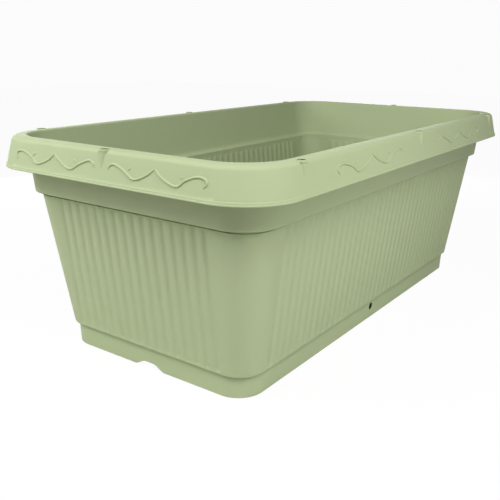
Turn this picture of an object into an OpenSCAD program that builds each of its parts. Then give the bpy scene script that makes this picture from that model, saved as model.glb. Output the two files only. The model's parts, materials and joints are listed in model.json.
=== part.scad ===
// Self-watering planter: a fluted trough with a water reservoir under a lift-out soil platform.
// Millimetres, +Z up. The origin is on the ground under the middle of the trough.
// X runs along the length, and the open overflow hole is in the long side at -Y.

/* [Trough] */
// Length over the rim
length = 914; // [820:2:1040]
// Depth over the rim
depth = 510; // [460:2:600]
// Height over the rim
height = 338.5; // [300:0.5:400]
// Wall of the trough moulding
wall = 3.2; // [2.6:0.1:4]
// Slope of the side walls, run over rise
draft = 0.115; // [0.09:0.005:0.13]
// Slope of the plinth's walls, run over rise
plinth_draft = 0.03; // [0.01:0.01:0.08]
// Height of the plinth
plinth_h = 34.5; // [32:0.5:45]
// How far the fluted body stands out past the plinth
plinth_in = 5.5; // [4.5:0.5:9]
// Height of the rounded edge over the plinth
shoulder_r = 7.5; // [5:0.5:10]
// Corner radius of the fluted body
body_corner_r = 42; // [36:1:56]
// Rounding of the plinth's lower edge
foot_r = 2.5; // [1.5:0.5:5]
// Width of the ring that the trough stands on
foot_w = 10; // [8:0.5:18]
// Lift of the floor inside that ring
floor_lift = 1.5; // [1:0.1:2.5]
// Fillet round the floor
floor_r = 5; // [3:0.5:7]

/* [Rim] */
// Height of the rim's skirt
skirt_h = 45; // [40:0.5:58]
// How far the skirt flares out between its crest and its lower edge
skirt_flare = 9; // [6:0.5:13]
// Width of the crest
crest_w = 20; // [18:0.5:28]
// Fall of the crest from its inner edge to its outer edge
crest_drop = 1; // [0.5:0.25:3]
// Corner radius of the rim's skirt
rim_corner_r = 80; // [76:1:100]
// Corner radius at the crest's inner edge
inner_corner_r = 65; // [54:1:72]
// Rounding of the crest's inner edge
crest_r = 3; // [2:0.25:4]
// Rounding of the crest's outer edge
crest_edge_r = 7; // [4:0.5:9]
// Height of the lip along the skirt's lower edge
lip_h = 5.5; // [4:0.5:8]
// How far that lip stands out
lip_out = 1.4; // [0.8:0.1:2.2]
// Height from the crest down to the step under the plain band
band_h = 80.5; // [68:0.5:95]
// How far the band stands out past the fluted body
step_in = 10.5; // [7:0.5:12]
// Height of the rounded edge under the band
step_r = 7.5; // [5:0.5:10]

/* [Flutes] */
// Flutes on each long side
flutes_long = 37; // [21:2:41]
// Flutes on each short side
flutes_short = 16; // [8:2:18]
// Width of a flute
flute_w = 10.5; // [6:0.5:13]
// Depth of a flute
flute_depth = 1.5; // [0.8:0.1:1.8]
// Plain strip from a long side's corner to its first flute
flute_margin_long = 15; // [10:1:30]
// Plain strip from a short side's corner to its first flute
flute_margin_short = 6; // [6:0.5:20]
// Height over which a flute runs out at its ends
flute_run_out = 7; // [4:0.5:14]

/* [Bosses and notches] */
// Distance of the outer bosses from the middle of a long side
boss_x = 358; // [260:1:362]
// Diameter of a boss at its top
boss_d = 14.4; // [12:0.2:17]
// Diameter of a boss where it runs out
boss_low_d = 5.2; // [4:0.2:7]
// Distance of a boss's top centre from the rim's outline
boss_in = 12; // [11:0.5:14]
// Length of a boss down the skirt
boss_h = 26; // [20:1:32]
// Height of the ring round a boss's top
boss_ring_h = 2.4; // [1.5:0.1:3]
// Depth of the dimple in that ring
dimple_h = 2.6; // [1.5:0.1:3]
// Width of the lifting notch at each end
notch_w = 61; // [44:1:80]
// Height of the lifting notch
notch_h = 9; // [7:0.5:12]
// Reach of the lifting notch under the floor
notch_d = 44; // [30:1:60]
// Diameter of the overflow and drain holes
hole_d = 13; // [10:0.5:15]
// Height of those holes' centres
hole_z = 21.5; // [20:0.5:24]

/* [Soil platform] */
// Thickness of the platform
plate_t = 3.2; // [2.6:0.1:4.4]
// Gap between the platform and the trough
plate_gap = 1.6; // [1.2:0.1:2.4]
// Gap between the two halves
split_gap = 1.2; // [0.8:0.1:2]
// Length of a drain slot
slot_l = 26; // [16:1:32]
// Width of a drain slot
slot_w = 5; // [4:0.5:7]
// Spacing of the slots along the length
slot_pitch_x = 38; // [36:1:48]
// Spacing of the slots across the depth
slot_pitch_y = 20; // [16:1:28]
// Height of the ribs under the platform
rib_h = 8; // [5:0.5:11]
// Thickness of those ribs
rib_t = 2.4; // [1.8:0.1:3.2]
// Diameter of a leg
leg_d = 22; // [18:0.5:26]
// Wall of a leg
leg_wall = 2.4; // [1.8:0.1:3.2]
// Diameter of a leg's foot
leg_foot_d = 30; // [28:0.5:36]
// Distance of the legs from the platform's edges
leg_inset = 50; // [42:1:60]

/* [Wicking cups] */
// Diameter of a cup under its flange
cup_d = 110; // [90:1:124]
// Diameter of a cup at its base
cup_base_d = 98; // [78:1:112]
// Width of a cup's flange outside the platform's hole
cup_flange = 6; // [4:0.5:9]
// Wall of a cup
cup_wall = 2; // [1.6:0.1:3]
// Slots round a cup
cup_slots = 12; // [8:1:16]
// Gap between a cup and the hole that it hangs in
cup_gap = 0.8; // [0.5:0.1:1.5]
// Gap between a cup and the trough's floor
cup_lift = 2; // [1.5:0.5:4]

/* [Fill tube] */
// Outside diameter of the fill tube
tube_d = 42; // [36:0.5:50]
// Wall of the fill tube
tube_wall = 2.5; // [2:0.1:3.2]
// Height of the tube's upper end
tube_top = 284; // [220:1:290]
// Distance of the tube's axis from the platform's edges
tube_inset = 48; // [44:1:60]
// Gap between the tube and the hole in the platform
tube_gap = 0.6; // [0.4:0.1:1.2]
// Width of the flange that the tube hangs by
tube_flange = 6; // [4:0.5:9]
// Gap between the tube's foot and the trough's floor
foot_lift = 2.5; // [1.5:0.5:4]
// Height of the water openings in the tube's foot
foot_open_h = 9; // [6:0.5:12]
// Height of the collar above the tube's end
collar_h = 12; // [9:0.5:15]
// Wall of the collar
collar_wall = 4; // [3:0.1:5]
// Thickness of the flip cap
cap_t = 3; // [2.4:0.1:4]
// Diameter of the cap's hinge pin
pin_d = 3; // [2.4:0.1:4]

/* [Level gauge] */
// Outside diameter of the gauge tube
gauge_d = 24; // [20:0.5:28]
// Wall of the gauge tube
gauge_wall = 2; // [1.6:0.1:2.4]
// Height of the gauge tube's upper end
gauge_top = 274; // [210:1:280]
// Diameter of the indicator rod
rod_d = 5; // [4:0.5:6]
// Diameter of the float
float_d = 50; // [44:1:54]
// Distance of the float from the platform's edge
float_gap = 16; // [12:1:18]
// Thickness of the float
float_h = 12; // [9:0.5:14]
// Rise of the float from an empty reservoir to the overflow
float_travel = 10; // [6:0.5:12]
// Diameter of the red flag on the rod
flag_d = 12; // [10:0.5:14]
// Height of that flag
flag_h = 7; // [5:0.5:9]

/* [Hidden] */
$fn = 72;

sage = [0.67, 0.72, 0.56];
dark_green = [0.20, 0.26, 0.20];
charcoal = [0.16, 0.17, 0.17];
running_gap = 0.1;
corner_steps = 8;
arc_steps = 3;
over = 1;

// Levels and insets of the trough. An inset is measured in from the rim's outline.
crest_out_z = height - crest_drop;
skirt_z = crest_out_z - skirt_h;
crest_in = skirt_flare + crest_w;
step_z = height - band_h;
body_top_z = step_z - step_r;
body_low_z = plinth_h + shoulder_r;
floor_top = floor_lift + wall;
ledge_z = plinth_h + wall + 2;
band_r = body_corner_r + step_in;
plinth_r = body_corner_r - 1;
function band_in(z) = crest_in - wall + draft*(height - z);
body_top_in = band_in(step_z) + step_in;
function body_in(z) = body_top_in + draft*(body_top_z - z);
plinth_top_in = body_in(body_low_z) + plinth_in;
function plinth_inset(z) = plinth_top_in + plinth_draft*(plinth_h - z);

// The skirt leans in, and a rounded edge turns it into the crest, which rises to its inner edge
skirt_lean = atan((skirt_flare - lip_out)/(skirt_h - lip_h));
crest_rise = atan(crest_drop/(crest_w - crest_r));
edge_turn = 90 - skirt_lean - crest_rise;
edge_run = crest_edge_r*tan(edge_turn/2);
edge_start = [skirt_flare - edge_run*sin(skirt_lean), crest_out_z - edge_run*cos(skirt_lean)];
function rim_r(inset) = rim_corner_r + (inner_corner_r - rim_corner_r)*max(0, inset - skirt_flare)/crest_w;

// The platform and what stands on it
plate_in = body_in(ledge_z) + wall + plate_gap;
plate_hx = length/2 - plate_in;
plate_hy = depth/2 - plate_in;
plate_r = body_corner_r - wall - plate_gap;
plate_top = ledge_z + plate_t;
leg_x = [leg_inset - split_gap, plate_hx/2, plate_hx - leg_inset];
leg_y = plate_hy - leg_inset;
socket_d = leg_d + 2*leg_wall;
cup_x = plate_hx/2;
tube_x = -(plate_hx - tube_inset);
tube_y = -(plate_hy - tube_inset);
bore_d = tube_d - 2*tube_wall;
gauge_x = (leg_x[0] + leg_x[1])/2;
gauge_y = -(plate_hy - float_d/2 - float_gap);
gauge_bore_d = gauge_d - 2*gauge_wall;
left_legs_at = [for (x = leg_x) for (y = [-leg_y, leg_y]) if (x < leg_x[2] || y > 0) [-x, y]];
right_legs_at = [for (x = leg_x) for (y = [-leg_y, leg_y]) [x, y]];

// Points of one rounded corner, anticlockwise from above, with corner 0 at +X +Y
function corner_points(hx, hy, r, k) =
    let (sx = k == 0 || k == 3 ? 1 : -1, sy = k < 2 ? 1 : -1)
    [for (i = [0:corner_steps])
        let (a = 90*(k + i/corner_steps))
        [sx*(hx - r) + r*cos(a), sy*(hy - r) + r*sin(a)]];

// One ring of the trough's skin, from a section point [inset, corner radius, height]
function plain_ring(s) =
    [for (k = [0:3])
        for (p = corner_points(length/2 - s[0], depth/2 - s[0], s[1], k)) [p[0], p[1], s[2]]];

// Places along a side, with the depth of the flutes there
function flute_line(count, pitch, d) =
    [for (i = [count - 1:-1:0])
        for (f = [[0.5, 0], [0.2, d], [-0.2, d], [-0.5, 0]])
            [(i - (count - 1)/2)*pitch + f[0]*flute_w, f[1]]];
low_hx = length/2 - body_in(body_low_z) - body_corner_r;
low_hy = depth/2 - body_in(body_low_z) - body_corner_r;
pitch_long = 2*(low_hx - flute_margin_long)/(flutes_long - 1);
pitch_short = 2*(low_hy - flute_margin_short)/(flutes_short - 1);
function side_line(k, d) =
    k % 2 == 0 ? flute_line(flutes_long, pitch_long, d) : flute_line(flutes_short, pitch_short, d);
function side_point(hx, hy, k, p) =
    k == 0 ? [p[0], hy - p[1]] :
    k == 1 ? [p[1] - hx, p[0]] :
    k == 2 ? [-p[0], p[1] - hy] : [hx - p[1], -p[0]];

// A ring of the fluted body at height z, with flutes of depth d
function fluted_ring(z, d) =
    let (hx = length/2 - body_in(z), hy = depth/2 - body_in(z))
    [for (k = [0:3])
        for (p = concat(corner_points(hx, hy, body_corner_r, k),
                [for (q = side_line(k, d)) side_point(hx, hy, k, q)])) [p[0], p[1], z]];

// Section points of the skin below and above the flutes
low_section = concat(
    [[plinth_inset(0) + foot_w, plinth_r - foot_r, floor_lift],
     [plinth_inset(0) + foot_w, plinth_r - foot_r, 0]],
    [for (i = [0:arc_steps])
        let (a = 90*i/arc_steps)
        [plinth_inset(0) + foot_r*(1 - sin(a)), plinth_r, foot_r*(1 - cos(a))]],
    [for (i = [arc_steps:-1:0])
        let (a = 90*i/arc_steps)
        [plinth_top_in - plinth_in*cos(a), plinth_r + (body_corner_r - plinth_r)*cos(a),
            body_low_z - shoulder_r*sin(a)]]);
high_section = concat(
    [for (i = [arc_steps:-1:0])
        let (a = 90*i/arc_steps)
        [body_top_in - step_in*cos(a), body_corner_r + step_in*cos(a), step_z - step_r*sin(a)]],
    [[crest_in - wall, inner_corner_r + wall, height - wall],
     [skirt_flare + wall, rim_corner_r - wall, crest_out_z - wall],
     [wall, rim_corner_r - wall, skirt_z],
     [lip_out/2, rim_corner_r - lip_out/2, skirt_z],
     [0, rim_corner_r, skirt_z + lip_out/2],
     [0, rim_corner_r, skirt_z + lip_h - lip_out],
     [lip_out, rim_corner_r, skirt_z + lip_h]],
    [for (i = [0:2*arc_steps])
        let (a = skirt_lean + edge_turn*i/(2*arc_steps),
            inset = edge_start[0] + crest_edge_r*(cos(skirt_lean) - cos(a)))
        [inset, rim_r(inset), edge_start[1] + crest_edge_r*(sin(a) - sin(skirt_lean))]],
    [for (i = [0:arc_steps])
        let (a = 90*i/arc_steps)
        [crest_in - crest_r*(1 - sin(a)), inner_corner_r + crest_r*(1 - sin(a)),
            height - crest_r*(1 - cos(a))]],
    [[band_in(step_z) + wall, band_r - wall, step_z + wall/2],
     [body_top_in + wall, body_corner_r - wall, body_top_z + wall],
     [body_in(ledge_z) + wall, body_corner_r - wall, ledge_z],
     [plinth_top_in + wall, plinth_r - wall, ledge_z]],
    [for (i = [0:arc_steps])
        let (a = 90*i/arc_steps)
        [plinth_inset(floor_top + floor_r) + wall + floor_r*(1 - cos(a)), plinth_r - wall,
            floor_top + floor_r*(1 - sin(a))]]);

// Faces between two rings of the same size, from point index a up to index b
function band_faces(a, b, size) =
    [for (i = [0:size - 1])
        let (j = (i + 1) % size)
        each [[a + i, b + i, b + j], [a + i, b + j, a + j]]];

// Faces between a plain ring at index a and a fluted ring at index b, with the plain ring below it or not
plain_size = 4*(corner_steps + 1);
side_sizes = [for (k = [0:3]) len(side_line(k, 0))];
function corner_start(k) =
    k == 0 ? 0 : corner_start(k - 1) + corner_steps + 1 + side_sizes[k - 1];
fluted_size = corner_start(3) + corner_steps + 1 + side_sizes[3];
function turned(face, keep) = keep ? face : [face[2], face[1], face[0]];
function joining_faces(a, b, plain_below) =
    [for (k = [0:3])
        let (p = a + k*(corner_steps + 1), q = corner_start(k), p_end = p + corner_steps, q_end = q + corner_steps)
        each concat(
            [for (i = [0:corner_steps - 1])
                each [turned([p + i, b + q + i, b + q + i + 1], plain_below),
                      turned([p + i, b + q + i + 1, p + i + 1], plain_below)]],
            [for (i = [0:side_sizes[k]])
                turned([p_end, b + q_end + i, b + (q_end + i + 1) % fluted_size], plain_below)],
            [turned([p_end, b + corner_start((k + 1) % 4), a + ((k + 1) % 4)*(corner_steps + 1)], plain_below)])];

// The trough's skin without its bosses, notches and holes
module trough_skin() {
    low_z = body_low_z + over;
    top_z = body_top_z - over;
    fluted = [fluted_ring(low_z, 0), fluted_ring(low_z + flute_run_out, flute_depth),
        fluted_ring(top_z - flute_run_out, flute_depth), fluted_ring(top_z, 0)];
    low_count = len(low_section);
    high_count = len(high_section);
    first_fluted = low_count*plain_size;
    first_high = first_fluted + len(fluted)*fluted_size;
    last = first_high + (high_count - 1)*plain_size;
    points = concat([for (s = low_section) each plain_ring(s)], [for (r = fluted) each r],
        [for (s = high_section) each plain_ring(s)]);
    faces = concat(
        [[for (i = [0:plain_size - 1]) i]],
        [for (n = [0:low_count - 2]) each band_faces(n*plain_size, (n + 1)*plain_size, plain_size)],
        joining_faces((low_count - 1)*plain_size, first_fluted, true),
        [for (n = [0:len(fluted) - 2])
            each band_faces(first_fluted + n*fluted_size, first_fluted + (n + 1)*fluted_size, fluted_size)],
        joining_faces(first_high, first_high - fluted_size, false),
        [for (n = [0:high_count - 2])
            each band_faces(first_high + n*plain_size, first_high + (n + 1)*plain_size, plain_size)],
        [[for (i = [plain_size - 1:-1:0]) last + i]]);
    polyhedron(points, faces);
}

// Puts its children on the rim of a long side or an end: local Y runs inwards from the rim's outline
module on_long_side(turn, x) {
    rotate(turn) translate([x, -depth/2, 0]) children();
}
module on_end(turn) {
    rotate(turn) translate([0, -length/2, 0]) children();
}
module at_bosses() {
    for (turn = [0, 180]) {
        for (x = [-boss_x, 0, boss_x]) on_long_side(turn, x) children();
        on_end(turn + 90) children();
    }
}

// A boss on the rim's shoulder: a ring with a dimple, over a cone that leans with the skirt and runs out on it
module lean_with_skirt() {
    translate([0, boss_in, height])
        multmatrix([[1, 0, 0, 0], [0, 1, tan(skirt_lean), 0], [0, 0, 1, 0]]) children();
}
module boss() {
    r = boss_d/2;
    lean_with_skirt() rotate_extrude($fn = 24) polygon([[0, -boss_h], [boss_low_d/2, -boss_h],
        [0.9*r, -boss_ring_h], [r, -boss_ring_h], [r, -0.6], [r - 0.6, 0], [0, 0]]);
}
module boss_dimple() {
    r = boss_d/2 - 1.2;
    lean_with_skirt() rotate_extrude($fn = 24) polygon([[0, -dimple_h], [0.8*r, -dimple_h], [r, 0], [r, over], [0, over]]);
}

// Lifting notch: a low arch under each end, closed over by a hood inside
notch_r = (notch_w*notch_w/4 + notch_h*notch_h)/(2*notch_h);
module notch_arch(r, from_y, to_y) {
    translate([0, from_y, notch_h - notch_r]) rotate([-90, 0, 0]) cylinder(r = r, h = to_y - from_y);
}
module notch_hood() {
    start = plinth_inset(0) + wall/2;
    intersection() {
        notch_arch(notch_r + wall, start, plinth_inset(0) + notch_d + wall);
        translate([-notch_w, 0, floor_lift + wall/2]) cube([2*notch_w, length/2, notch_h + wall]);
    }
}

// Axis of a hole through the plinth, square to its sloping wall, with local Z pointing out
module on_plinth_side(turn) {
    rotate(turn) translate([0, -depth/2 + plinth_inset(hole_z), hole_z]) rotate([90 + atan(plinth_draft), 0, 0])
        children();
}

module trough() {
    color(sage) difference() {
        union() {
            trough_skin();
            at_bosses() boss();
            for (turn = [-90, 90]) on_end(turn) notch_hood();
        }
        at_bosses() boss_dimple();
        for (turn = [-90, 90]) on_end(turn) notch_arch(notch_r, 0, plinth_inset(0) + notch_d);
        for (turn = [0, 180]) on_plinth_side(turn)
            translate([0, 0, -3*wall]) cylinder(d = hole_d, h = 6*wall);
    }
}

// Drain plug in the rear hole: a head with a finger tab, and a shank through the washer and the wall
washer_t = 2;
plug_head_d = hole_d + 10;
plug_head_t = 3;
plug_tab = [14, 3, 7];
plug_reach = 5;
module drain_plug() {
    shank_r = hole_d/2 - running_gap;
    color(charcoal) on_plinth_side(180) {
        rotate_extrude() polygon([[0, -wall - plug_reach], [shank_r - 1.5, -wall - plug_reach],
            [shank_r, -wall - plug_reach + 3], [shank_r, washer_t], [plug_head_d/2, washer_t],
            [plug_head_d/2, washer_t + plug_head_t], [0, washer_t + plug_head_t]]);
        translate([-plug_tab[0]/2, -plug_tab[1]/2, washer_t]) cube([plug_tab[0], plug_tab[1], plug_tab[2] + plug_head_t]);
    }
}
module plug_washer() {
    color([0.1, 0.1, 0.1]) on_plinth_side(180) difference() {
        cylinder(d = plug_head_d - 2, h = washer_t);
        translate([0, 0, -over]) cylinder(d = hole_d, h = washer_t + 2*over);
    }
}

// One half of the soil platform, drawn on the +X side
module half_outline() {
    polygon(concat([[split_gap/2, -plate_hy]], corner_points(plate_hx, plate_hy, plate_r, 3),
        corner_points(plate_hx, plate_hy, plate_r, 0), [[split_gap/2, plate_hy]]));
}
function clear_of(x, y, round_places) =
    len([for (p = round_places)
        if (norm([max(abs(x - p[0]) - slot_l/2, 0), max(abs(y - p[1]) - slot_w/2, 0)]) < p[2]) 1]) == 0;
slot_columns = floor((plate_hx - plate_r/2)/slot_pitch_x);
slot_rows = 2*floor((plate_hy - plate_r/2)/slot_pitch_y) + 1;
function slot_x(i) = (i + 0.5)*(plate_hx - plate_r/2)/slot_columns;
function slot_y(i) = (i - (slot_rows - 1)/2)*slot_pitch_y;
rib_columns = [1, round(slot_columns/2) - 2, round(slot_columns/2) + 2, slot_columns - 1];
module half_plate(keep_clear) {
    translate([0, 0, ledge_z]) linear_extrude(plate_t) difference() {
        half_outline();
        for (i = [0:slot_columns - 1])
            for (j = [0:slot_rows - 1])
                if (clear_of(slot_x(i), slot_y(j), keep_clear))
                    translate([slot_x(i) - slot_l/2, slot_y(j) - slot_w/2]) square([slot_l, slot_w]);
    }
}
module platform_half(legs_at, through) {
    socket_h = rib_h + leg_wall;
    cup_hole_d = cup_d + 2*cup_gap;
    places = concat([for (p = legs_at) [p[0], p[1], socket_d/2 + rib_t]],
        [[cup_x, 0, cup_hole_d/2 + cup_flange + rib_t]], [for (p = through) [p[0], p[1], p[2]/2 + rib_t]]);
    rib_span = plate_hy - plinth_in - plate_gap - rib_h;
    difference() {
        union() {
            half_plate(places);
            for (p = legs_at) translate([p[0], p[1], ledge_z - socket_h]) cylinder(d = socket_d, h = socket_h + over);
            for (i = rib_columns)
                translate([i*(plate_hx - plate_r/2)/slot_columns - rib_t/2, -rib_span, ledge_z - rib_h])
                    cube([rib_t, 2*rib_span, rib_h + over]);
            translate([cup_x, 0, ledge_z - rib_h]) cylinder(d = cup_hole_d + 2*rib_t, h = rib_h + over);
        }
        for (p = legs_at)
            translate([p[0], p[1], ledge_z - socket_h - over]) cylinder(d = leg_d + 2*running_gap, h = socket_h + over);
        translate([cup_x, 0, ledge_z - socket_h]) cylinder(d = cup_hole_d, h = socket_h + plate_t + over);
        for (p = through) translate([p[0], p[1], ledge_z - socket_h]) cylinder(d = p[2], h = socket_h + plate_t + over);
    }
}
gauge_spigot_d = rod_d + 2*gauge_wall + 2;
module platform_left() {
    color(charcoal) mirror([1, 0, 0])
        platform_half([for (p = left_legs_at) [-p[0], p[1]]], [[-tube_x, tube_y, tube_d + 2*tube_gap]]);
}
module platform_right() {
    color(charcoal) platform_half(right_legs_at, [[gauge_x, gauge_y, gauge_spigot_d + 2*running_gap]]);
}

// Plug-in legs that carry the platform off the floor
module legs(places) {
    r = leg_d/2;
    h = ledge_z - floor_top;
    for (p = places) translate([p[0], p[1], floor_top])
        rotate_extrude() polygon([[r - leg_wall, 0], [leg_foot_d/2, 0], [leg_foot_d/2, leg_wall],
            [r, 2*leg_wall], [r, h], [r - leg_wall, h]]);
}
module left_legs() {
    color(charcoal) legs(left_legs_at);
}
module right_legs() {
    color(charcoal) legs(right_legs_at);
}

// Slotted cup that hangs in the platform and reaches into the water
cup_slot_w = 6;
cup_hole_d = 9;
module wick_cup(x) {
    base_z = floor_top + cup_lift;
    r = cup_d/2;
    base_r = cup_base_d/2;
    flange_r = r + cup_gap + cup_flange;
    slot_h = plate_top - base_z - rib_h - cup_wall;
    color(dark_green) translate([x, 0, 0]) difference() {
        rotate_extrude() polygon([[0, base_z], [base_r, base_z], [r, plate_top], [flange_r, plate_top],
            [flange_r, plate_top + cup_wall], [r - cup_wall, plate_top + cup_wall],
            [base_r - cup_wall, base_z + cup_wall], [0, base_z + cup_wall]]);
        for (i = [0:cup_slots - 1])
            rotate(360*(i + 0.5)/cup_slots)
                translate([base_r/2, -cup_slot_w/2, base_z + 2*cup_wall]) cube([r, cup_slot_w, slot_h - 2*cup_wall]);
        for (i = [0:5])
            rotate(60*i) translate([base_r/2, 0, base_z - over]) cylinder(d = cup_hole_d, h = cup_wall + 2*over);
    }
}
module wick_cup_left() {
    wick_cup(-cup_x);
}
module wick_cup_right() {
    wick_cup(cup_x);
}

// Fill tube, its open foot, and the collar that carries the flip cap
foot_spigot_h = 14;
foot_ring_h = foot_open_h + 5;
foot_z = floor_top + foot_lift;
tube_low_z = foot_z + foot_ring_h;
foot_openings = 4;
foot_open_w = 16;
module at_tube() {
    translate([tube_x, tube_y, 0]) children();
}
module fill_tube() {
    flange_r = tube_d/2 + tube_flange;
    color(sage) at_tube() rotate_extrude() polygon([[bore_d/2, tube_low_z], [tube_d/2, tube_low_z],
        [tube_d/2, plate_top], [flange_r, plate_top], [flange_r, plate_top + tube_wall],
        [tube_d/2, plate_top + 2*tube_wall], [tube_d/2, tube_top], [bore_d/2, tube_top]]);
}
module fill_foot() {
    spigot_d = bore_d - 2*running_gap;
    color(charcoal) at_tube() translate([0, 0, foot_z]) difference() {
        union() {
            cylinder(d = tube_d, h = foot_ring_h);
            cylinder(d = spigot_d, h = foot_ring_h + foot_spigot_h);
        }
        translate([0, 0, -over]) cylinder(d = spigot_d - 2*tube_wall, h = foot_ring_h + foot_spigot_h + 2*over);
        for (i = [0:foot_openings - 1])
            rotate(45 + 360*i/foot_openings) translate([0, -foot_open_w/2, -over])
                cube([tube_d, foot_open_w, foot_open_h + over]);
    }
}
collar_skirt = 14;
collar_d = tube_d + 2*collar_wall;
collar_top = tube_top + collar_h;
mouth_d = collar_d - collar_wall;
hinge_r = pin_d/2 + 2.2;
hinge_x = -(collar_d/2 + hinge_r + 1.2);
hinge_z = collar_top + cap_t/2;
lug_t = 4;
knuckle_l = 14;
lug_gap = 0.4;
module hinge_rod(d, from_y, to_y) {
    translate([hinge_x, from_y, hinge_z]) rotate([-90, 0, 0]) cylinder(d = d, h = to_y - from_y);
}
module fill_collar() {
    lug_y = knuckle_l/2 + lug_gap;
    color(sage) at_tube() difference() {
        union() {
            rotate_extrude() polygon([[bore_d/2, tube_top], [mouth_d/2, collar_top], [collar_d/2, collar_top],
                [collar_d/2, tube_top - collar_skirt], [tube_d/2 + running_gap, tube_top - collar_skirt],
                [tube_d/2 + running_gap, tube_top]]);
            for (s = [-1, 1]) {
                y = s > 0 ? lug_y : -lug_y - lug_t;
                hinge_rod(2*hinge_r, y, y + lug_t);
                translate([hinge_x - hinge_r, y, collar_top - collar_h])
                    cube([hinge_r - hinge_x - collar_d/2 + collar_wall/2, lug_t, collar_h - lug_gap]);
                translate([hinge_x - hinge_r, y, collar_top - collar_h])
                    cube([2*hinge_r, lug_t, hinge_z - collar_top + collar_h]);
            }
        }
        hinge_rod(pin_d, -knuckle_l, knuckle_l);
    }
}
module cap_hinge_pin() {
    reach = knuckle_l/2 + lug_gap + lug_t;
    color([0.72, 0.73, 0.74]) at_tube() hinge_rod(pin_d, -reach, reach);
}
cap_lip_h = 4;
cap_lip_gap = 0.8;
tab_w = 18;
tab_l = 8;
module fill_cap() {
    lip_r = bore_d/2 + (mouth_d - bore_d)/2*(1 - cap_lip_h/collar_h) - cap_lip_gap;
    color(sage) at_tube() difference() {
        union() {
            translate([0, 0, collar_top]) cylinder(d = collar_d, h = cap_t);
            translate([0, 0, collar_top - cap_lip_h]) difference() {
                cylinder(r = lip_r, h = cap_lip_h + over);
                translate([0, 0, -over]) cylinder(r = lip_r - collar_wall/2, h = cap_lip_h + over);
            }
            translate([collar_d/2 - 2, -tab_w/2, collar_top]) cube([tab_l, tab_w, cap_t]);
            hinge_rod(2*hinge_r, -knuckle_l/2, knuckle_l/2);
            translate([hinge_x, -knuckle_l/2, collar_top]) cube([-hinge_x - collar_d/2 + 3, knuckle_l, cap_t]);
        }
        hinge_rod(pin_d + 2*running_gap, -knuckle_l, knuckle_l);
    }
}

// Level gauge: a float under the platform lifts a rod with a red flag into a clear cap
gauge_flange_d = gauge_d + 16;
bush_h = 8;
chamber_h = float_travel + flag_h + 3;
flag_z = gauge_top + 1;
float_z = floor_top + 1;
module at_gauge() {
    translate([gauge_x, gauge_y, 0]) children();
}
module gauge_tube() {
    rod_hole_r = rod_d/2 + running_gap;
    spigot_r = gauge_spigot_d/2;
    color(dark_green) at_gauge() rotate_extrude() polygon([[rod_hole_r, ledge_z], [spigot_r, ledge_z],
        [spigot_r, plate_top], [gauge_flange_d/2, plate_top], [gauge_flange_d/2, plate_top + gauge_wall],
        [gauge_d/2, plate_top + 2*gauge_wall], [gauge_d/2, gauge_top], [gauge_bore_d/2, gauge_top],
        [gauge_bore_d/2, plate_top + 2*gauge_wall], [rod_hole_r, plate_top + 2*gauge_wall]]);
}
module gauge_bush() {
    color([0.85, 0.85, 0.82]) at_gauge() translate([0, 0, gauge_top - bush_h]) difference() {
        cylinder(d = gauge_bore_d, h = bush_h);
        translate([0, 0, -over]) cylinder(d = rod_d + 2*running_gap, h = bush_h + 2*over);
    }
}
module gauge_rod() {
    color([0.85, 0.85, 0.82]) at_gauge() translate([0, 0, float_z + float_h])
        cylinder(d = rod_d, h = flag_z - float_z - float_h);
}
module gauge_float() {
    r = float_d/2;
    edge = float_h/4;
    boss_r = rod_d/2 + 4;
    color([0.92, 0.92, 0.88]) at_gauge() translate([0, 0, float_z]) difference() {
        rotate_extrude() polygon([[0, 0], [r - edge, 0], [r, edge], [r, float_h - edge], [r - edge, float_h],
            [boss_r, float_h], [boss_r, float_h + edge], [0, float_h + edge]]);
        translate([0, 0, float_h]) cylinder(d = rod_d, h = float_h);
        for (i = [0:2])
            rotate(120*i) translate([r/2, 0, -over]) cylinder(d = edge, h = over + running_gap);
    }
}
module gauge_flag() {
    color([0.80, 0.12, 0.10]) at_gauge() translate([0, 0, flag_z]) rotate_extrude()
        polygon([[0, 0], [flag_d/2, 0], [flag_d/2, flag_h - 2], [flag_d/2 - 2, flag_h], [0, flag_h]]);
}
module gauge_cap() {
    socket_r = gauge_d/2 + running_gap;
    skirt = 12;
    roof = gauge_top + chamber_h;
    color([0.85, 0.92, 0.92, 0.5]) at_gauge() rotate_extrude() polygon([[socket_r, gauge_top - skirt],
        [socket_r + gauge_wall, gauge_top - skirt], [socket_r + gauge_wall, roof], [gauge_bore_d/2, roof + gauge_wall],
        [0, roof + gauge_wall], [0, roof], [gauge_bore_d/2, roof], [gauge_bore_d/2, gauge_top], [socket_r, gauge_top]]);
}

trough();
drain_plug();
plug_washer();
platform_left();
platform_right();
left_legs();
right_legs();
wick_cup_left();
wick_cup_right();
fill_tube();
fill_foot();
fill_collar();
fill_cap();
cap_hinge_pin();
gauge_tube();
gauge_bush();
gauge_rod();
gauge_float();
gauge_flag();
gauge_cap();
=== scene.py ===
"""Looks of a self-watering planter: a sage-green fluted trough with a folded rim, seen near one corner."""

import json
import math

import bpy
import numpy as np
from mathutils import Matrix, Vector


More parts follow.
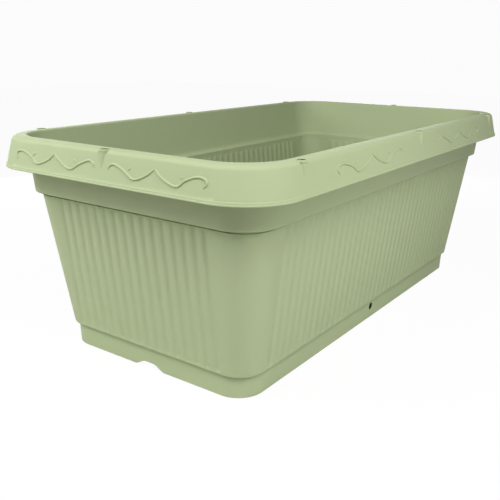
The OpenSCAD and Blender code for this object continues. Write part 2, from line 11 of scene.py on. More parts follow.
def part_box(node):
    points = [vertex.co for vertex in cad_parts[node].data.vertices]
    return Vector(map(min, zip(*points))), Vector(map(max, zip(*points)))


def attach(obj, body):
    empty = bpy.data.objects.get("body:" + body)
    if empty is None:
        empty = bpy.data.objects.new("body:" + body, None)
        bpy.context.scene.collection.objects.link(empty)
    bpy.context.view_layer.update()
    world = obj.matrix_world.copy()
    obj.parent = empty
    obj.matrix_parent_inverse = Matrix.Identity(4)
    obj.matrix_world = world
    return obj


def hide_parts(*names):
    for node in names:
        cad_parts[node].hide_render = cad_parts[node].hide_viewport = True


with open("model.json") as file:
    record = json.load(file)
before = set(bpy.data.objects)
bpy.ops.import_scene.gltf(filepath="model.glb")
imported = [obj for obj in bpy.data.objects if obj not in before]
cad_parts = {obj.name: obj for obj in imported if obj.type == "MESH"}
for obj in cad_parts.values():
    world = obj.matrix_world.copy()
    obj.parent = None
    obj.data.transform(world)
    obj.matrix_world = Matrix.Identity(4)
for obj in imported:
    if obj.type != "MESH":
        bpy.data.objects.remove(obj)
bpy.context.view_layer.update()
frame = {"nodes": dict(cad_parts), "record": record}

# Driving sizes of the trough, in millimetres. Meshes are made in metres.
MM = 0.001
LOW, HIGH = (np.array(corner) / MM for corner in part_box("trough"))
LENGTH, DEPTH, HEIGHT = HIGH - LOW
WALL = 3.2
DRAFT = 0.115
PLINTH_DRAFT = 0.03
PLINTH_H = 34.5
PLINTH_IN = 5.5
SHOULDER_R = 7.5
BODY_CORNER_R = 42
FOOT_R = 0.8
FOOT_W = 10
EDGE_R = 1.5
FLOOR_LIFT = 1.5
FLOOR_R = 5
SHOULDER_GAP = 1
INNER_LEDGE_UP = 2

SKIRT_H = 45
SKIRT_FLARE = 9
CREST_W = 20
CREST_DROP = 1
RIM_CORNER_R = 80
INNER_CORNER_R = 65
CREST_R = 3
CREST_EDGE_R = 7
LIP_H = 5.5
LIP_OUT = 1.4
LIP_GROOVE = 0.6
LIP_GROOVE_H = 2.2
LIP_RAMP_H = 0.6
LIP_CHAMFER = 0.5
BAND_H = 80.5
STEP_IN = 10.5
STEP_R = 7.5
STEP_GROOVE_H = 3
STEP_GROOVE_D = 2
STEP_GROOVE_RAMP = 0.4
LEDGE_DROP = 1.5
LEDGE_BEND_H = 6
LEDGE_CURL = 2

FLUTES_LONG = 37
FLUTES_SHORT = 16
FLUTE_W = 10.5
FLUTE_DEPTH = 1.5
FLUTE_MARGIN_LONG = 15
FLUTE_MARGIN_SHORT = 6
FLUTE_END_GAP = 1
INNER_FLUTE = 0.8

BOSS_X = 358
BOSS_D = 14.4
BOSS_LOW_D = 5.2
BOSS_IN = 12
BOSS_H = 26
BOSS_RING_H = 2.4
BOSS_RING_W = 1.6
BOSS_ROUND = 0.6
BOSS_NECK = 0.9
BOSS_NECK_H = 0.4
DIMPLE_H = 5
DIMPLE_UNDER = 1.3
DIMPLE_FLOOR = 0.8
NOTCH_W = 61
NOTCH_H = 9
NOTCH_D = 44
NOTCH_FLANK = 0.75
NOTCH_TOP_GAP = 6
ALCOVE_RAMP = 2
ALCOVE_EDGE = 8
HOLE_D = 13
HOLE_Z = 21.5
HOLE_LIP = 1
HOLE_RUN = 6 * WALL

# Levels, corner radii and insets of the trough. An inset is measured in from the rim's outline.
CREST_OUT_Z = HEIGHT - CREST_DROP
SKIRT_Z = CREST_OUT_Z - SKIRT_H
LIP_TOP_Z = SKIRT_Z + LIP_H
CREST_IN = SKIRT_FLARE + CREST_W
STEP_Z = HEIGHT - BAND_H
BODY_TOP_Z = STEP_Z - STEP_R
BODY_LOW_Z = PLINTH_H + SHOULDER_R
FLOOR_TOP = FLOOR_LIFT + WALL
INNER_LEDGE_Z = PLINTH_H + WALL + INNER_LEDGE_UP
BODY_FOOT_Z = PLINTH_H + SHOULDER_GAP + EDGE_R
BAND_R = BODY_CORNER_R + STEP_IN
PLINTH_R = BODY_CORNER_R - 1


def band_in(z):
    return CREST_IN - WALL + DRAFT * (HEIGHT - z)


BODY_TOP_IN = band_in(STEP_Z) + STEP_IN


def body_in(z):
    return BODY_TOP_IN + DRAFT * (BODY_TOP_Z - z)


PLINTH_TOP_IN = body_in(BODY_LOW_Z) + PLINTH_IN


def plinth_in(z):
    return PLINTH_TOP_IN + PLINTH_DRAFT * (PLINTH_H - z)


# The skirt leans in, and a rounded edge turns it into the crest, which rises to its inner edge
SKIRT_LEAN = math.atan2(SKIRT_FLARE - LIP_OUT, SKIRT_H - LIP_H)
CREST_RISE = math.atan2(CREST_DROP, CREST_W - CREST_R)
EDGE_TURN = math.pi / 2 - SKIRT_LEAN - CREST_RISE
EDGE_RUN = CREST_EDGE_R * math.tan(EDGE_TURN / 2)
SKIRT_TOP_Z = CREST_OUT_Z - EDGE_RUN * math.cos(SKIRT_LEAN)


def skirt_in(z):
    return SKIRT_FLARE - (CREST_OUT_Z - z) * math.tan(SKIRT_LEAN)


def rim_r(inset):
    """Corner radius of the skirt and crest."""
    return np.interp(inset, [SKIRT_FLARE, CREST_IN], [RIM_CORNER_R, INNER_CORNER_R])


def smooth(t):
    """Rises softly from 0 to 1 as t does."""
    t = np.clip(t, 0, 1)
    return t * t * (3 - 2 * t)


class Columns:
    """Places round the trough, anticlockwise from above: corner k, then side k. Side 0 is at +Y and side 1 at -X."""

    KEY_HALF = {0: 400, 1: 200}

    def __init__(self, long_places, short_places, corner_steps):
        side, turn, along = [], [], []
        for k in range(4):
            places = sorted(long_places if k % 2 == 0 else short_places, reverse=True)
            side += [k] * (corner_steps + 1 + len(places))
            turn += [i / corner_steps for i in range(corner_steps + 1)] + [np.nan] * len(places)
            along += [np.nan] * (corner_steps + 1) + list(places)
        self.side = np.array(side)
        self.turn = np.array(turn)
        self.along = np.array(along, float)
        self.on_side = ~np.isnan(self.along)
        half = np.where(self.side % 2 == 0, self.KEY_HALF[0], self.KEY_HALF[1])
        self.key = self.side + np.where(self.on_side, 0.6 - 0.35 * self.along / half, 0.25 * self.turn)

    def __len__(self):
        return len(self.side)

    def ring(self, inset, radius, z):
        """Points of a rounded rectangle. inset and z may differ from column to column."""
        inset = np.broadcast_to(np.asarray(inset, float), len(self))
        hx, hy = LENGTH / 2 - inset, DEPTH / 2 - inset
        sx = np.where((self.side == 0) | (self.side == 3), 1, -1)
        sy = np.where(self.side < 2, 1, -1)
        angle = np.radians(90 * (self.side + np.nan_to_num(self.turn)))
        corner_x = sx * (hx - radius) + radius * np.cos(angle)
        corner_y = sy * (hy - radius) + radius * np.sin(angle)
        straight = np.where(self.side % 2 == 0, hx, hy) - radius
        s = np.clip(np.nan_to_num(self.along), -straight, straight)
        side_x = np.choose(self.side, [s, -hx, -s, hx])
        side_y = np.choose(self.side, [hy, s, -hy, -s])
        x = np.where(self.on_side, side_x, corner_x)
        y = np.where(self.on_side, side_y, corner_y)
        return np.column_stack([x, y, np.broadcast_to(np.asarray(z, float), len(self))])


class Skin:
    """A closed skin made of rings, joined in order."""

    def __init__(self):
        self.points = []
        self.faces = []
        self.count = 0
        self.last = None

    def add(self, columns, inset, radius, z):
        """The next ring. It is joined to the one before it, whose columns may be others."""
        start = self.count
        self.points.append(columns.ring(inset, radius, z))
        self.count += len(columns)
        if self.last is None:
            self.faces.append(list(range(start, start + len(columns)))[::-1])
        elif self.last[0] is columns:
            self._band(self.last[1], start, len(columns))
        else:
            self._zip(self.last[0], self.last[1], columns, start)
        self.last = (columns, start)

    def _band(self, a, b, size):
        for i in range(size):
            j = (i + 1) % size
            self.faces.append([a + i, a + j, b + j, b + i])

    def _zip(self, lower, a, upper, b):
        i = j = 0
        while i < len(lower) or j < len(upper):
            next_a = lower.key[i + 1] if i + 1 < len(lower) else 4 + lower.key[0]
            next_b = upper.key[j + 1] if j + 1 < len(upper) else 4 + upper.key[0]
            here = [a + i % len(lower), b + j % len(upper)]
            if j == len(upper) or (i < len(lower) and next_a <= next_b):
                i += 1
                self.faces.append([here[0], a + i % len(lower), here[1]])
            else:
                j += 1
                self.faces.append([here[0], b + j % len(upper), here[1]])

    def close(self):
        columns, start = self.last
        self.faces.append(list(range(start, start + len(columns))))

    def mesh(self, name):
        mesh = bpy.data.meshes.new(name)
        mesh.from_pydata(np.concatenate(self.points) * MM, [], self.faces)
        mesh.validate()
        return mesh


def add_object(name, mesh):
    obj = bpy.data.objects.new(name, mesh)
    bpy.context.scene.collection.objects.link(obj)
    return obj


def steps(start, stop, count, with_stop=True):
    return np.linspace(start, stop, count, endpoint=with_stop)


# Flutes: round-ended grooves, which also show as low ribs on the inside
def flute_places(count, half, margin):
    return steps(-(half - margin), half - margin, count)


LOW_HALF_X = LENGTH / 2 - body_in(BODY_LOW_Z) - BODY_CORNER_R
LOW_HALF_Y = DEPTH / 2 - body_in(BODY_LOW_Z) - BODY_CORNER_R
LONG_FLUTES = flute_places(FLUTES_LONG, LOW_HALF_X, FLUTE_MARGIN_LONG)
SHORT_FLUTES = flute_places(FLUTES_SHORT, LOW_HALF_Y, FLUTE_MARGIN_SHORT)
FLUTE_CUTS = FLUTE_W * steps(-0.5, 0.5, 9)
FLUTE_LOW_Z = BODY_FOOT_Z + FLUTE_END_GAP + FLUTE_W / 2
FLUTE_TOP_Z = BODY_TOP_Z - FLUTE_END_GAP - FLUTE_W / 2


def flute_depth(columns, z):
    depth = np.zeros(len(columns))
    beyond = max(0, FLUTE_LOW_Z - z, z - FLUTE_TOP_Z)
    for parity, centres in ((0, LONG_FLUTES), (1, SHORT_FLUTES)):
        chosen = columns.on_side & (columns.side % 2 == parity)
        across = np.abs(columns.along[chosen, None] - centres[None, :]).min(axis=1)
        reach = np.minimum(np.hypot(across, beyond) / (FLUTE_W / 2), 1)
        depth[chosen] = FLUTE_DEPTH * (1 - reach ** 2)
    return depth


# Lifting notch: a low arch with soft ends under each short side. It fades out up the plinth.
NOTCH_FADE_H = PLINTH_H - NOTCH_TOP_GAP


def notch_rise(columns):
    rise = np.zeros(len(columns))
    chosen = columns.on_side & (columns.side % 2 == 1)
    rise[chosen] = NOTCH_H * smooth((1 - np.abs(columns.along[chosen]) / (NOTCH_W / 2)) / NOTCH_FLANK)
    return rise


# The trough: rings from the underside out and up to the crest, and back down the inside. The reaches
# are how far along each plain side a ring has points.
SIDE_REACH = 330
END_REACH = 130


def build_trough():
    side_places = list(steps(-SIDE_REACH, SIDE_REACH, 23))
    end_places = list(steps(-END_REACH, END_REACH, 5))
    notch_places = list(NOTCH_W / 2 * steps(-1.05, 1.05, 43))
    plinth = Columns(side_places, sorted(set(end_places + notch_places)), 12)
    fluted = Columns([c + d for c in LONG_FLUTES for d in FLUTE_CUTS],
                     [c + d for c in SHORT_FLUTES for d in FLUTE_CUTS], 14)
    rim = Columns(side_places, end_places, 24)
    rise = notch_rise(plinth)
    skin = Skin()

    # Underside, foot and plinth
    foot_in, foot_r = plinth_in(0), PLINTH_R - FOOT_R
    alcove_z = np.maximum(FLOOR_LIFT, rise)
    skin.add(plinth, foot_in + NOTCH_D + ALCOVE_EDGE, foot_r, FLOOR_LIFT)
    skin.add(plinth, foot_in + NOTCH_D, foot_r, FLOOR_LIFT)
    skin.add(plinth, foot_in + NOTCH_D - ALCOVE_RAMP, foot_r, alcove_z)
    skin.add(plinth, foot_in + FOOT_W, foot_r, alcove_z)
    skin.add(plinth, foot_in + FOOT_W, foot_r, rise)
    for a in np.radians(steps(0, 90, 8)):
        z = FOOT_R * (1 - math.cos(a))
        skin.add(plinth, foot_in + FOOT_R * (1 - math.sin(a)), PLINTH_R, z + rise * (1 - z / NOTCH_FADE_H))
    for z in steps(FOOT_R, PLINTH_H, 8)[1:-1]:
        skin.add(plinth, plinth_in(z), PLINTH_R, z + rise * max(0, 1 - z / NOTCH_FADE_H))
    skin.add(plinth, PLINTH_TOP_IN, PLINTH_R, PLINTH_H)
    for a in np.radians(steps(90, 0, 7)):
        round_in = EDGE_R * (1 - math.cos(a))
        z = BODY_FOOT_Z - EDGE_R * math.sin(a)
        skin.add(plinth, body_in(BODY_FOOT_Z) + round_in, BODY_CORNER_R - round_in, z)

    # Fluted body
    end_levels = steps(0, FLUTE_W / 2, 7)
    middle_levels = steps(FLUTE_LOW_Z, FLUTE_TOP_Z, 10)[1:-1]
    levels = np.concatenate([FLUTE_LOW_Z - end_levels[::-1], middle_levels, FLUTE_TOP_Z + end_levels])
    groove_z = BODY_TOP_Z - STEP_GROOVE_H
    for z in levels[levels < groove_z]:
        skin.add(fluted, body_in(z) + flute_depth(fluted, z), BODY_CORNER_R, z)
    skin.add(fluted, body_in(groove_z) + flute_depth(fluted, groove_z), BODY_CORNER_R, groove_z)

    # Step, band and the hollow under the rim
    skin.add(rim, body_in(groove_z) + STEP_GROOVE_D, BODY_CORNER_R - STEP_GROOVE_D, groove_z + STEP_GROOVE_RAMP)
    skin.add(rim, BODY_TOP_IN + STEP_GROOVE_D, BODY_CORNER_R - STEP_GROOVE_D, BODY_TOP_Z)
    edge_z = BODY_TOP_Z + STEP_GROOVE_D + EDGE_R
    for a in np.radians(steps(90, 0, 7)):
        round_in = EDGE_R * (1 - math.cos(a))
        skin.add(rim, band_in(edge_z) + round_in, BAND_R - round_in, edge_z - EDGE_R * math.sin(a))
    skin.add(rim, CREST_IN - WALL, INNER_CORNER_R + WALL, HEIGHT - WALL)
    skin.add(rim, SKIRT_FLARE + 2 * WALL, RIM_CORNER_R - 2 * WALL, CREST_OUT_Z - WALL)
    skin.add(rim, SKIRT_FLARE + WALL, RIM_CORNER_R - WALL, CREST_OUT_Z - 2 * WALL)
    skin.add(rim, LIP_OUT + WALL, RIM_CORNER_R - WALL, LIP_TOP_Z)
    skin.add(rim, WALL, RIM_CORNER_R - WALL, SKIRT_Z + LIP_CHAMFER)
    skin.add(rim, WALL - LIP_CHAMFER, RIM_CORNER_R - WALL + LIP_CHAMFER, SKIRT_Z)

    # Lip and skirt
    lip_r = LIP_OUT / 2
    for a in np.radians(steps(0, 90, 5)):
        inset = lip_r * (1 - math.sin(a))
        skin.add(rim, inset, RIM_CORNER_R - inset, SKIRT_Z + lip_r * (1 - math.cos(a)))
    for t in steps(0, 1, 7)[1:]:
        inset = LIP_GROOVE * smooth(t)
        skin.add(rim, inset, RIM_CORNER_R - inset, SKIRT_Z + lip_r + LIP_GROOVE_H * (0.5 + 0.5 * t))
    for t in steps(0, 1, 6)[:-1]:
        inset = LIP_GROOVE + (LIP_OUT - LIP_GROOVE) * smooth(t)
        skin.add(rim, inset, RIM_CORNER_R - inset, LIP_TOP_Z - LIP_RAMP_H * (1 - t))
    for z in steps(LIP_TOP_Z, SKIRT_TOP_Z, 9):
        skin.add(rim, skirt_in(z), RIM_CORNER_R, z)

    # Crest
    for a in steps(SKIRT_LEAN, SKIRT_LEAN + EDGE_TURN, 16)[1:]:
        inset = skirt_in(SKIRT_TOP_Z) + CREST_EDGE_R * (math.cos(SKIRT_LEAN) - math.cos(a))
        skin.add(rim, inset, rim_r(inset), SKIRT_TOP_Z + CREST_EDGE_R * (math.sin(a) - math.sin(SKIRT_LEAN)))
    skin.add(rim, CREST_IN - CREST_R, INNER_CORNER_R + CREST_R, HEIGHT)
    for a in np.radians(steps(0, 90, 8))[1:]:
        round_in = CREST_R * (1 - math.sin(a))
        skin.add(rim, CREST_IN - round_in, INNER_CORNER_R + round_in, HEIGHT - CREST_R * (1 - math.cos(a)))

    # Inside, down to the floor
    inner_step_top = STEP_Z + WALL / 2
    bend_z = inner_step_top + LEDGE_BEND_H
    bend_r = np.interp(bend_z, [inner_step_top, HEIGHT - CREST_R], [BAND_R - WALL, INNER_CORNER_R])
    skin.add(rim, band_in(bend_z) + WALL, bend_r, bend_z)
    for t in steps(0, 1, 11):
        z = inner_step_top + LEDGE_CURL * (1 - t) ** 4 - LEDGE_DROP * smooth(t)
        skin.add(rim, band_in(STEP_Z) + WALL + STEP_IN * t, BAND_R - WALL - STEP_IN * t, z)
    for z in levels[levels > INNER_LEDGE_Z + FLUTE_END_GAP][::-1]:
        skin.add(fluted, body_in(z) + WALL + INNER_FLUTE * flute_depth(fluted, z), BODY_CORNER_R - WALL, z)
    skin.add(plinth, body_in(INNER_LEDGE_Z) + WALL, BODY_CORNER_R - WALL, INNER_LEDGE_Z)
    skin.add(plinth, PLINTH_TOP_IN + WALL, PLINTH_R - WALL, INNER_LEDGE_Z)
    hood = np.where(rise > 0, rise + WALL - FLOOR_TOP, 0).clip(0)
    for a in np.radians(steps(0, 90, 6)):
        inset = plinth_in(FLOOR_TOP + FLOOR_R) + WALL + FLOOR_R * (1 - math.cos(a))
        z = FLOOR_TOP + FLOOR_R * (1 - math.sin(a)) + hood * math.sin(a / 2) ** 2 * 2
        skin.add(plinth, inset, PLINTH_R - WALL, z)
    floor_r = PLINTH_R - WALL - FLOOR_R
    skin.add(plinth, foot_in + NOTCH_D, floor_r, FLOOR_TOP + hood)
    skin.add(plinth, foot_in + NOTCH_D + ALCOVE_RAMP, floor_r, FLOOR_TOP)
    skin.add(plinth, foot_in + NOTCH_D + ALCOVE_EDGE, floor_r, FLOOR_TOP)
    skin.close()
    return add_object("trough_moulding", skin.mesh("trough_moulding"))


trough = build_trough()


# Bosses on the rim's shoulder: a ring with a dimple, over a cone that leans with the skirt and runs out on it
BOSS_R = BOSS_D / 2
DIMPLE_R = BOSS_R - BOSS_RING_W
ROUND_FACETS = 48


def at_side(side, along, inset, z):
    """A place at an inset from a side. along goes anticlockwise from above."""
    x, y = LENGTH / 2 - inset, DEPTH / 2 - inset
    return [(-along, y, z), (-x, -along, z), (along, -y, z), (x, along, z)][side]


def revolved(profile, centres):
    """Upright turned pieces at the centres, leaning with the skirt. A centre is a side and a place along it."""
    points, faces = [], []
    turns = (0.5 + np.arange(ROUND_FACETS)) * 2 * math.pi / ROUND_FACETS
    for side, along in centres:
        start = len(points)
        for r, down in profile:
            for a in turns:
                inset = BOSS_IN + r * math.sin(a) - down * math.tan(SKIRT_LEAN)
                points.append(at_side(side, along + r * math.cos(a), inset, HEIGHT - down))
        for row in range(len(profile) - 1):
            for i in range(ROUND_FACETS):
                a, b = start + row * ROUND_FACETS + i, start + row * ROUND_FACETS + (i + 1) % ROUND_FACETS
                faces.append([a, b, b + ROUND_FACETS, a + ROUND_FACETS])
        last = start + (len(profile) - 1) * ROUND_FACETS
        faces.append(list(range(start, start + ROUND_FACETS))[::-1])
        faces.append(list(range(last, last + ROUND_FACETS)))
    mesh = bpy.data.meshes.new("rim_bosses")
    mesh.from_pydata(np.array(points) * MM, [], faces)
    return mesh


BOSSES = [(side, x) for side in (0, 2) for x in (-BOSS_X, 0, BOSS_X)] + [(1, 0), (3, 0)]
CONE = [(BOSS_LOW_D / 2, BOSS_H), (BOSS_NECK * BOSS_R, BOSS_RING_H + BOSS_NECK_H), (BOSS_R, BOSS_RING_H)]
RING = [(BOSS_R - BOSS_ROUND * (1 - math.cos(a)), BOSS_ROUND * (1 - math.sin(a))) for a in np.radians(steps(0, 90, 5))]
DIMPLE = [(DIMPLE_R, 0), (DIMPLE_R + DIMPLE_UNDER, DIMPLE_UNDER), (DIMPLE_FLOOR * DIMPLE_R, DIMPLE_H)]
bosses = add_object("rim_bosses", revolved(CONE + RING + DIMPLE, BOSSES))


# Round holes in the plinth's long sides, square to its wall, and room for the dimples in the crest
DIMPLE_CUT_R = BOSS_R - 0.2
DIMPLE_CUT_UNDER = 0.3
DIMPLE_CUT_OVER = 1


def cut_away(obj, cutter):
    cut = obj.modifiers.new("cut", "BOOLEAN")
    cut.operation = "DIFFERENCE"
    cut.object = cutter
    mesh = bpy.data.meshes.new_from_object(obj.evaluated_get(bpy.context.evaluated_depsgraph_get()))
    obj.modifiers.remove(cut)
    obj.data = mesh
    bpy.data.objects.remove(cutter)


def bore(side, diameter, start):
    """Takes a round hole out of the plinth, from a depth under its face inwards."""
    tilt = math.atan(PLINTH_DRAFT)
    face = Vector((0, side * (DEPTH / 2 - plinth_in(HOLE_Z)), HOLE_Z))
    inward = Vector((0, -side * math.cos(tilt), math.sin(tilt)))
    bpy.ops.mesh.primitive_cylinder_add(vertices=ROUND_FACETS, radius=diameter / 2 * MM, depth=HOLE_RUN * MM)
    cutter = bpy.context.object
    cutter.location = (face + inward * (start + HOLE_RUN / 2)) * MM
    cutter.rotation_euler = (math.pi / 2 - side * tilt, 0, 0)
    cut_away(trough, cutter)


for side in (-1, 1):
    bore(side, HOLE_D, -HOLE_RUN / 2)
bore(-1, HOLE_D + 2 * WALL, HOLE_LIP)
dimple_cut = [(DIMPLE_CUT_R, DIMPLE_H + DIMPLE_CUT_UNDER), (DIMPLE_CUT_R, -DIMPLE_CUT_OVER)]
cut_away(trough, add_object("dimple_cutter", revolved(dimple_cut, BOSSES)))


# Tendrils: thin ridges on the skirt, mirrored about each side's middle. A stroke's points are along the side,
# away from its middle, and up the skirt, from 0 to 1.
TENDRIL_W = 3.2
TENDRIL_H = 2
TENDRIL_SUNK = 0.3
TAPER_RUN = 1.5 * TENDRIL_W
TAPER_LEAST = 0.05
END_TENDRIL_Y = 94
LONG_TENDRIL_X = 178
LONG_STRETCH = 1.25
RISING = [(-81, 0.44), (-78.5, 0.63), (-69, 0.70), (-50, 0.49), (-35, 0.27), (-16, 0.44), (0, 0.76)]
FALLING = [(0, 0.76), (13, 0.47), (36, 0.27), (50, 0.52), (66, 0.69), (78, 0.67), (82, 0.52), (77, 0.33)]
LEFT_TICK = [(-45, 0.53), (-43.5, 0.60), (-40, 0.66)]
RIGHT_TICK = [(45, 0.53), (43.5, 0.60), (40, 0.66)]
STROKES = (RISING, FALLING, LEFT_TICK, RIGHT_TICK)


def curve_through(points, count=10):
    """A smooth line through the points, with some steps to each span."""
    p = np.array(points, float)
    p = np.vstack([2 * p[0] - p[1], p, 2 * p[-1] - p[-2]])
    line = []
    for a, b, c, d in zip(p, p[1:], p[2:], p[3:]):
        for t in steps(0, 1, count, False):
            line.append(b + 0.5 * t * (c - a + t * (2 * a - 5 * b + 4 * c - d + t * (3 * (b - c) + d - a))))
    return np.array(line + [p[-2]])


def on_skirt(side, along, up, out):
    """A place on the skirt, or a little out of it. along goes anticlockwise from above."""
    z = LIP_TOP_Z + (SKIRT_TOP_Z - LIP_TOP_Z) * up
    return at_side(side, along, skirt_in(z) - out, z)


def build_tendrils():
    across = TENDRIL_W / 2 * np.array([-1, -0.75, -0.4, 0, 0.4, 0.75, 1])
    rise = TENDRIL_H * np.sqrt(1 - (across / (TENDRIL_W / 2)) ** 2) - TENDRIL_SUNK
    size = len(across)
    points, faces = [], []
    for side in range(4):
        long = side % 2 == 0
        for middle in (-1, 1):
            centre = middle * (LONG_TENDRIL_X if long else END_TENDRIL_Y)
            for stroke in STROKES:
                line = curve_through(stroke) * [middle * (LONG_STRETCH if long else 1), SKIRT_TOP_Z - LIP_TOP_Z]
                way = np.gradient(line, axis=0)
                way /= np.linalg.norm(way, axis=1)[:, None]
                run = np.concatenate([[0], np.cumsum(np.linalg.norm(np.diff(line, axis=0), axis=1))])
                taper = np.sqrt(np.clip(np.minimum(run, run[-1] - run) / TAPER_RUN, TAPER_LEAST, 1))
                start = len(points)
                for place, d, k in zip(line, way, taper):
                    for w, h in zip(across, rise):
                        at = place + k * w * np.array([-d[1], d[0]])
                        up = at[1] / (SKIRT_TOP_Z - LIP_TOP_Z)
                        points.append(on_skirt(side, centre + at[0], up, k * (h + TENDRIL_SUNK) - TENDRIL_SUNK))
                for i in range(len(line) - 1):
                    a, b = start + i * size, start + (i + 1) * size
                    faces += [[a + j, b + j, b + (j + 1) % size, a + (j + 1) % size] for j in range(size)]
                last = start + (len(line) - 1) * size
                faces += [list(range(start, start + size)), list(range(last, last + size))[::-1]]
    mesh = bpy.data.meshes.new("rim_tendrils")
    mesh.from_pydata(np.array(points) * MM, [], faces)
    return add_object("rim_tendrils", mesh)


tendrils = build_tendrils()


# Camera
CAMERA_AZIMUTH = -54.41
CAMERA_ELEVATION = 17.02
CAMERA_ROLL = 0.52
CAMERA_AT = Vector((-1.0202, -0.6476, 0.4651))
FOCAL_PIXELS = 657.3
AXIS_PIXEL = (252.8, 248.35)
IMAGE_PIXELS = 500


def place_camera():
    az, el, roll = (math.radians(a) for a in (CAMERA_AZIMUTH, CAMERA_ELEVATION, CAMERA_ROLL))
    back = Vector((math.sin(az) * math.cos(el), -math.cos(az) * math.cos(el), math.sin(el)))
    level = Vector((math.cos(az), math.sin(az), 0))
    upright = back.cross(level)
    right = level * math.cos(roll) + upright * math.sin(roll)
    up = upright * math.cos(roll) - level * math.sin(roll)
    data = bpy.data.cameras.new("camera")
    data.sensor_width = 36
    data.lens = FOCAL_PIXELS / IMAGE_PIXELS * data.sensor_width
    data.shift_x = -(AXIS_PIXEL[0] - IMAGE_PIXELS / 2) / IMAGE_PIXELS
    data.shift_y = (AXIS_PIXEL[1] - IMAGE_PIXELS / 2) / IMAGE_PIXELS
    data.clip_start = 0.05
    camera = add_object("camera", data)
    turn = Matrix((right, up, back)).transposed().to_4x4()
    camera.matrix_world = Matrix.Translation(CAMERA_AT) @ turn
    bpy.context.scene.camera = camera


place_camera()
bpy.context.scene.view_settings.view_transform = "Standard"


# Materials
GRAIN_SCALE = 900
GRAIN_DEPTH = 0.0004
SHARP_ANGLE = 50


def plastic(name, colour, roughness, grain=0.0, shine=0.5):
    """A moulded plastic, with a fine grain where one is given."""
    material = bpy.data.materials.new(name)
    material.use_nodes = True
    nodes, links = material.node_tree.nodes, material.node_tree.links
    shader = nodes["Principled BSDF"]
    shader.inputs["Base Color"].default_value = (*colour, 1)
    shader.inputs["Roughness"].default_value = roughness
    shader.inputs["Specular IOR Level"].default_value = shine
    if grain:
        place = nodes.new("ShaderNodeTexCoord")
        noise = nodes.new("ShaderNodeTexNoise")
        noise.inputs["Scale"].default_value = GRAIN_SCALE
        noise.inputs["Detail"].default_value = 2
        bump = nodes.new("ShaderNodeBump")
        bump.inputs["Strength"].default_value = grain
        bump.inputs["Distance"].default_value = GRAIN_DEPTH
        links.new(place.outputs["Object"], noise.inputs["Vector"])
        links.new(noise.outputs["Fac"], bump.inputs["Height"])
        links.new(bump.outputs["Normal"], shader.inputs["Normal"])
    return material


def clear_plastic(name, colour):
    material = plastic(name, colour, 0.05)
    shader = material.node_tree.nodes["Principled BSDF"]
    shader.inputs["Transmission Weight"].default_value = 0.9
    shader.inputs["IOR"].default_value = 1.49
    return material


def steel(name, colour):
    material = plastic(name, colour, 0.3)
    material.node_tree.nodes["Principled BSDF"].inputs["Metallic"].default_value = 1
    return material


FINISHES = {
    "sage_plastic": plastic("sage_plastic", (0.44, 0.51, 0.30), 0.5, 0.2, 0.05),
    "dark_plastic": plastic("dark_plastic", (0.018, 0.02, 0.02), 0.55, 0.2),
    "green_plastic": plastic("green_plastic", (0.035, 0.06, 0.035), 0.5, 0.2),
    "black_rubber": plastic("black_rubber", (0.01, 0.01, 0.01), 0.8, 0.3),
    "white_plastic": plastic("white_plastic", (0.7, 0.7, 0.64), 0.45),
    "red_plastic": plastic("red_plastic", (0.52, 0.02, 0.012), 0.25),
    "clear_plastic": clear_plastic("clear_plastic", (0.85, 0.93, 0.92)),
    "pin_steel": steel("pin_steel", (0.55, 0.56, 0.58)),
}


def paint(obj, slot):
    obj.data.materials.clear()
    obj.data.materials.append(FINISHES[slot])


for piece in frame["record"]["subparts"]:
    paint(frame["nodes"][piece["node"]], piece["material_slot"])
for obj in (trough, bosses, tendrils):
    paint(obj, "sage_plastic")
    obj.data.polygons.foreach_set("use_smooth", [True] * len(obj.data.polygons))
    obj.data.set_sharp_from_angle(angle=math.radians(SHARP_ANGLE))
    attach(obj, "trough")
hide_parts("trough")


# Floor, backdrop and lights
FLOOR_REACH = 6
FLOOR_BOUNCE = 0.8
FLOOR_WHITE = 0.9
FLOOR_GLOW = 0.96
BACKDROP = 0.97
AMBIENT = 0.02


def seen_rays(tree):
    """A socket that is 1 for what the camera, a mirror or clear plastic shows, and 0 for scattered light."""
    path = tree.nodes.new("ShaderNodeLightPath")
    seen = path.outputs["Is Camera Ray"]
    for kind in ("Is Glossy Ray", "Is Transmission Ray"):
        either = tree.nodes.new("ShaderNodeMath")
        either.operation = "MAXIMUM"
        tree.links.new(seen, either.inputs[0])
        tree.links.new(path.outputs[kind], either.inputs[1])
        seen = either.outputs["Value"]
    return seen


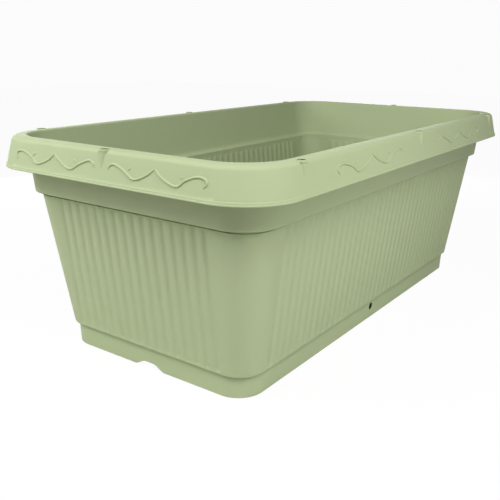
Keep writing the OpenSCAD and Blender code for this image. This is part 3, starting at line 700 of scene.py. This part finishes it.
def floor_material():
    """Looks almost white, keeps a faint shadow, and scatters light as a pale floor does."""
    material = bpy.data.materials.new("floor_white")
    material.use_nodes = True
    tree = material.node_tree
    nodes, links = tree.nodes, tree.links
    nodes.remove(nodes["Principled BSDF"])
    bounce, white = (nodes.new("ShaderNodeBsdfDiffuse") for _ in range(2))
    bounce.inputs["Color"].default_value = (FLOOR_BOUNCE, FLOOR_BOUNCE, FLOOR_BOUNCE, 1)
    white.inputs["Color"].default_value = (FLOOR_WHITE, FLOOR_WHITE, FLOOR_WHITE, 1)
    glow = nodes.new("ShaderNodeEmission")
    pale, floor = (nodes.new("ShaderNodeMixShader") for _ in range(2))
    pale.inputs["Fac"].default_value = FLOOR_GLOW
    links.new(white.outputs["BSDF"], pale.inputs[1])
    links.new(glow.outputs["Emission"], pale.inputs[2])
    links.new(seen_rays(tree), floor.inputs["Fac"])
    links.new(bounce.outputs["BSDF"], floor.inputs[1])
    links.new(pale.outputs["Shader"], floor.inputs[2])
    links.new(floor.outputs["Shader"], nodes["Material Output"].inputs["Surface"])
    return material


def add_floor():
    mesh = bpy.data.meshes.new("floor")
    corners = [(x * FLOOR_REACH, y * FLOOR_REACH, 0) for x, y in ((-1, -1), (1, -1), (1, 1), (-1, 1))]
    mesh.from_pydata(corners, [], [(0, 1, 2, 3)])
    mesh.materials.append(floor_material())
    add_object("floor", mesh)


def add_world():
    world = bpy.data.worlds.new("studio")
    world.use_nodes = True
    bpy.context.scene.world = world
    tree = world.node_tree
    background = tree.nodes["Background"]
    background.inputs["Color"].default_value = (1, 1, 1, 1)
    strength = tree.nodes.new("ShaderNodeMapRange")
    strength.inputs["To Min"].default_value = AMBIENT
    strength.inputs["To Max"].default_value = BACKDROP
    tree.links.new(seen_rays(tree), strength.inputs["Value"])
    tree.links.new(strength.outputs["Result"], background.inputs["Strength"])


def add_softbox(name, azimuth, away, height, size, power):
    """A square lamp that faces the planter. Azimuth 0 is in front of the long side."""
    a = math.radians(azimuth)
    at = Vector((away * math.sin(a), -away * math.cos(a), height))
    data = bpy.data.lights.new(name, "AREA")
    data.shape = "SQUARE"
    data.size = size
    data.energy = power
    lamp = add_object(name, data)
    lamp.visible_camera = False
    lamp.location = at
    lamp.rotation_euler = (Vector((0, 0, HEIGHT * MM / 2)) - at).to_track_quat("-Z", "Y").to_euler()


add_floor()
add_world()
add_softbox("left_softbox", azimuth=-100, away=1.3, height=1.4, size=0.6, power=9.8)
add_softbox("far_left_softbox", azimuth=-130, away=1.3, height=0.8, size=0.6, power=6.4)
add_softbox("right_softbox", azimuth=-40, away=1.3, height=1.4, size=0.6, power=17.2)
add_softbox("low_right_softbox", azimuth=-10, away=0.85, height=0.4, size=0.6, power=1.6)
add_softbox("rear_end_softbox", azimuth=108, away=1.5, height=0.3, size=0.5, power=5)
add_softbox("rear_softbox", azimuth=165, away=1.5, height=0.3, size=0.5, power=5)
